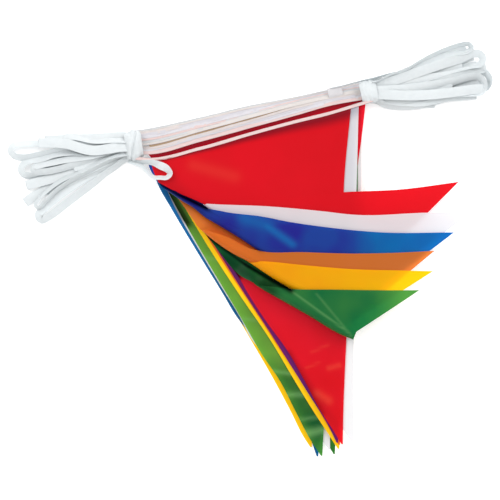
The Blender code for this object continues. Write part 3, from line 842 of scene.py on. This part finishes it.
def loopFrames(loop, neck, seed):
    # a loop's tape from inside the tie and back to it
    route, drop = loop["route"], loop.get("drop", 0)

    def inTie(point):
        away = Vector(point) - neck
        return neck + Vector([distance * share for distance, share in zip(away, strands["inTie"])])

    ends = [] if drop else [inTie(route[-1])]
    steps = strands["steps"]["drop" if drop else "loop"]
    frames = framesAlong((inTie(route[0]), *route, *ends), loop["leans"], steps, seed)
    if drop:
        outward = (frames[-1][0] - frames[-2][0]).normalized()
        down = Vector((0.0, 0.0, -drop))
        end, across = frames[-1]
        bend = []
        for i in range(1, strands["bendSteps"]):
            angle = math.pi * i / strands["bendSteps"]
            point = end + down * (1 - math.cos(angle)) / 2 + outward * math.sin(angle) * drop / 2
            bend.append((point, across))
        back = [(point + down * smoothStep(0, strands["partSteps"], i), across)
                for i, (point, across) in enumerate(frames)]
        frames = frames + bend + back[::-1]
    # near the tie the strands pile up to the height of the bundle
    for point, across in frames:
        near = 1 - smoothStep(*strands["mouthReach"], abs(point.x - neck.x))
        height = neck.z + (point.z - neck.z) * (1 + strands["mouthSpread"] * near)
        point.z = max(height, strands["lowest"])
    return frames


def addTape(mesh, frames, width, cup):
    # a strip along its frames, with the faint lengthwise crease that the tape keeps from its fold
    def place(column, row):
        middle, across = frames[row]
        share = tape["across"][column]
        before, after = frames[max(row - 1, 0)][0], frames[min(row + 1, len(frames) - 1)][0]
        normal = across.cross((after - before).normalized())
        return middle + across * width * share + normal * cup * (abs(share) * 2 - 0.5)

    addGrid(mesh, len(tape["across"]) - 1, len(frames) - 1, place)


def fanLoops(hank):
    # the strands under and between the main loops, each from the tie to its end and back below itself
    neck = Vector(hank["neck"])
    ends = sorted(hank["fan"], key=lambda end: math.atan2(end[1] - neck.y, abs(end[0] - neck.x)))
    loops = []
    for i, (x, y, z, lean) in enumerate(ends):
        spread = 2 * i / (len(ends) - 1) - 1
        outward = math.copysign(fan["start"], x - neck.x)
        start = neck + Vector((outward, hank["mouth"] * spread, -fan["below"]))
        end = Vector((x, y, z))
        points = []
        for share in fan["marks"]:
            point = start + (end - start) * share
            point.z = start.z + (end.z - start.z) * share ** fan["sag"]
            points.append(tuple(point))
        loops.append({"leans": (lean, lean + fan["leanMore"], lean), "drop": fan["drop"], "route": points})
    return loops


def makeHank(name, hank, node):
    strips = []
    for i, loop in enumerate((*hank["loops"], *fanLoops(hank))):
        frames = loopFrames(loop, Vector(hank["neck"]), seeds[name] + i)
        strips.append((frames, loop.get("width", tape["width"])))
    if "runOver" in hank:
        over = hank["runOver"]
        frames = framesAlong(over["route"], over["leans"], strands["steps"]["runOver"], seeds[name])
        strips.append((frames, over["width"]))

    def build(mesh):
        for frames, width in strips:
            addTape(mesh, frames, width, tape["cup"])

    piece = newPiece(name, build, tape["thickness"], tapeWhite, [node])


print("hanks")
makeHank("leftHank", leftHank, "left_hank")
makeHank("rightHank", rightHank, "right_hank")

# The ties: turns of tape round the neck, drawn in at both edges, with a groove where two turns meet
ties = {
    "leftTie": {"node": "left_tie", "middle": (-165, 148.6, 17.4), "axis": math.radians(188),
                "radii": (16.5, 8.5), "width": 24.0, "turns": 2, "slant": 0.3, "swell": 5.6, "groove": 0.65,
                "pucker": 1.7},
    "rightTie": {"node": "right_tie", "middle": (169, 224.5, 17.4), "axis": math.radians(12),
                 "radii": (13.8, 8.0), "width": 24.0, "turns": 2, "slant": 0.05, "swell": 2.8, "groove": 0.2,
                 "pucker": 0.7},
}

# The pleats and puckers of both ties, laid out round a sleeve of radius 1
pleats = {"length": 0.9, "puckers": 2.1, "depth": 0.3, "across": 9, "wander": 4, "wanders": 1.4}


def makeTie(name, tie):
    way = Vector((math.cos(tie["axis"]), math.sin(tie["axis"]), 0.0))
    side = Vector((-way.y, way.x, 0.0))
    middle = Vector(tie["middle"])
    columns, rows = 32, 80

    def place(column, row):
        angle = math.tau * (row % rows) / rows
        share = 2 * column / columns - 1
        around = Vector((math.cos(angle), math.sin(angle), share * pleats["length"]))
        spot = (share + 1) / 2 * tie["turns"]
        spot -= tie["slant"] * math.cos(angle) * (1 - share ** 2) * tie["turns"]
        groove = tie["groove"] * abs(2 * (spot % 1.0) - 1) ** 3
        pucker = tie["pucker"] * noise.noise(around * pleats["puckers"])
        wander = pleats["wander"] * noise.noise(around * pleats["wanders"])
        pleat = pleats["depth"] * math.sin(share * pleats["across"] + wander)
        out = tie["swell"] * (1 - abs(share) ** 3) * (1 - groove) + (pucker + pleat) * (1 - share ** 4)
        across = math.cos(angle) * (tie["radii"][0] + out)
        up = math.sin(angle) * (tie["radii"][1] + out)
        return middle + way * share * tie["width"] / 2 + side * across + Vector((0, 0, up))

    piece = newPiece(name, lambda mesh: addGrid(mesh, columns, rows, place, joined=True), tape["thickness"],
                     tapeWhite, [tie["node"]])


print("ties, end loop and short turn")
for name, tie in ties.items():
    makeTie(name, tie)

# The small loop at the string's end: the tape comes out under the tie, turns back over the front pennant's
# corner, where it lies flat, and goes under the tie again
endLoop = {
    "width": 11.0,
    "cup": 0.3,
    "steps": 70,
    "leans": (40, 50, 54, 52, 40, 6, 44, 54, 56, 58, 60, 58, 50, 40),
    "route": ((-172, 129, 12), (-160, 125, 18), (-147, 124.5, 27), (-137, 123.5, 32), (-127.5, 119.8, 32),
              (-118, 115, 31.5), (-113.3, 108.2, 31.5), (-117.5, 102.9, 32), (-127, 102.7, 32),
              (-136.5, 103.3, 32), (-143.5, 109.3, 31), (-150.5, 117.2, 27), (-160, 122.5, 20),
              (-172, 127.5, 13)),
}
endFrames = framesAlong(endLoop["route"], endLoop["leans"], endLoop["steps"], seeds["endLoop"])
loopPiece = newPiece("endLoop", lambda mesh: addTape(mesh, endFrames, endLoop["width"], endLoop["cup"]),
                     tape["thickness"], tapeWhite, ["end_loop"])

# The short turn of tape round the upper bindings
shortTurn = {
    "middle": (121, 225, 11.6),
    "along": math.radians(14.0),
    "size": (21.0, 14.0),
    "rise": 1.2,
    "ripple": 0.35,
    "ripples": (5, 3, 4.0),  # along the bindings, across them, and the plane
}


def buildShortTurn(mesh):
    way = Vector((math.cos(shortTurn["along"]), math.sin(shortTurn["along"]), 0.0))
    side = Vector((-way.y, way.x, 0.0))
    columns, rows = 12, 16

    def place(column, row):
        u, v = column / columns - 0.5, row / rows - 0.5
        along, across, plane = shortTurn["ripples"]
        ripple = shortTurn["ripple"] * noise.noise(Vector((u * along, v * across, plane)))
        rise = shortTurn["rise"] * (1 - (2 * v) ** 4) + ripple
        return (Vector(shortTurn["middle"]) + way * u * shortTurn["size"][0] + side * v * shortTurn["size"][1]
                + Vector((0, 0, rise)))

    addGrid(mesh, columns, rows, place)


turnPiece = newPiece("shortTurn", buildShortTurn, tape["thickness"], tapeOver["turn"], ["short_turn"])

print("floor, light and camera")
studio = {
    "floor": "#FCFCFC",
    "floorLight": 0.3,
    "floorRoughness": 0.9,
    "floorHalf": 6,
    "skyStrength": 0.72,
    "panels": (  # x, y, height, size, watts
        (-1.1, 0.95, 1.6, 1.3, 16.0),
        (1.4, 1.1, 1.5, 1.3, 20.0),
        (0.6, -1.7, 1.4, 1.5, 8.0),
        (-0.75, 0.65, 1.9, 0.5, 5.0),
    ),
    "distance": 5.0,
    "sensor": 36.0,
    "frameWidth": 0.710,
    "frameHeight": 0.020,  # the height at which the picture is that wide
    "lightColour": (1.0, 1.0, 1.0, 1.0),
}

half = studio["floorHalf"]
floorData = bpy.data.meshes.new("floor")
floorCorners = [(-half, -half, 0), (half, -half, 0), (half, half, 0), (-half, half, 0)]
floorData.from_pydata(floorCorners, [], [(0, 1, 2, 3)])
floor = bpy.data.objects.new("floor", floorData)
scene.collection.objects.link(floor)
floorMaterial = bpy.data.materials.new("floor paper")
floorMaterial.use_nodes = True
floorShader = floorMaterial.node_tree.nodes["Principled BSDF"]
floorShader.inputs["Base Color"].default_value = linearFromHex(studio["floor"])
floorShader.inputs["Roughness"].default_value = studio["floorRoughness"]
floorShader.inputs["Emission Color"].default_value = studio["lightColour"]
floorShader.inputs["Emission Strength"].default_value = studio["floorLight"]
floorData.materials.append(floorMaterial)

world = bpy.data.worlds.new("studio")
world.use_nodes = True
sky = world.node_tree.nodes["Background"]
sky.inputs["Strength"].default_value = studio["skyStrength"]
sky.inputs["Color"].default_value = studio["lightColour"]
scene.world = world

for i, (x, y, height, size, watts) in enumerate(studio["panels"]):
    light = bpy.data.lights.new(f"panel{i + 1}", "AREA")
    light.shape = "SQUARE"
    light.size = size
    light.energy = watts
    panel = bpy.data.objects.new(f"panel{i + 1}", light)
    panel.location = (x, y, height)
    panel.rotation_euler = (-Vector(panel.location)).to_track_quat("-Z", "Y").to_euler()
    scene.collection.objects.link(panel)

cameraData = bpy.data.cameras.new("camera")
cameraData.sensor_width = studio["sensor"]
cameraData.lens = studio["sensor"] * (studio["distance"] - studio["frameHeight"]) / studio["frameWidth"]
camera = bpy.data.objects.new("camera", cameraData)
camera.location = (0.0, 0.0, studio["distance"])
scene.collection.objects.link(camera)
scene.camera = camera
scene.view_settings.view_transform = "Standard"
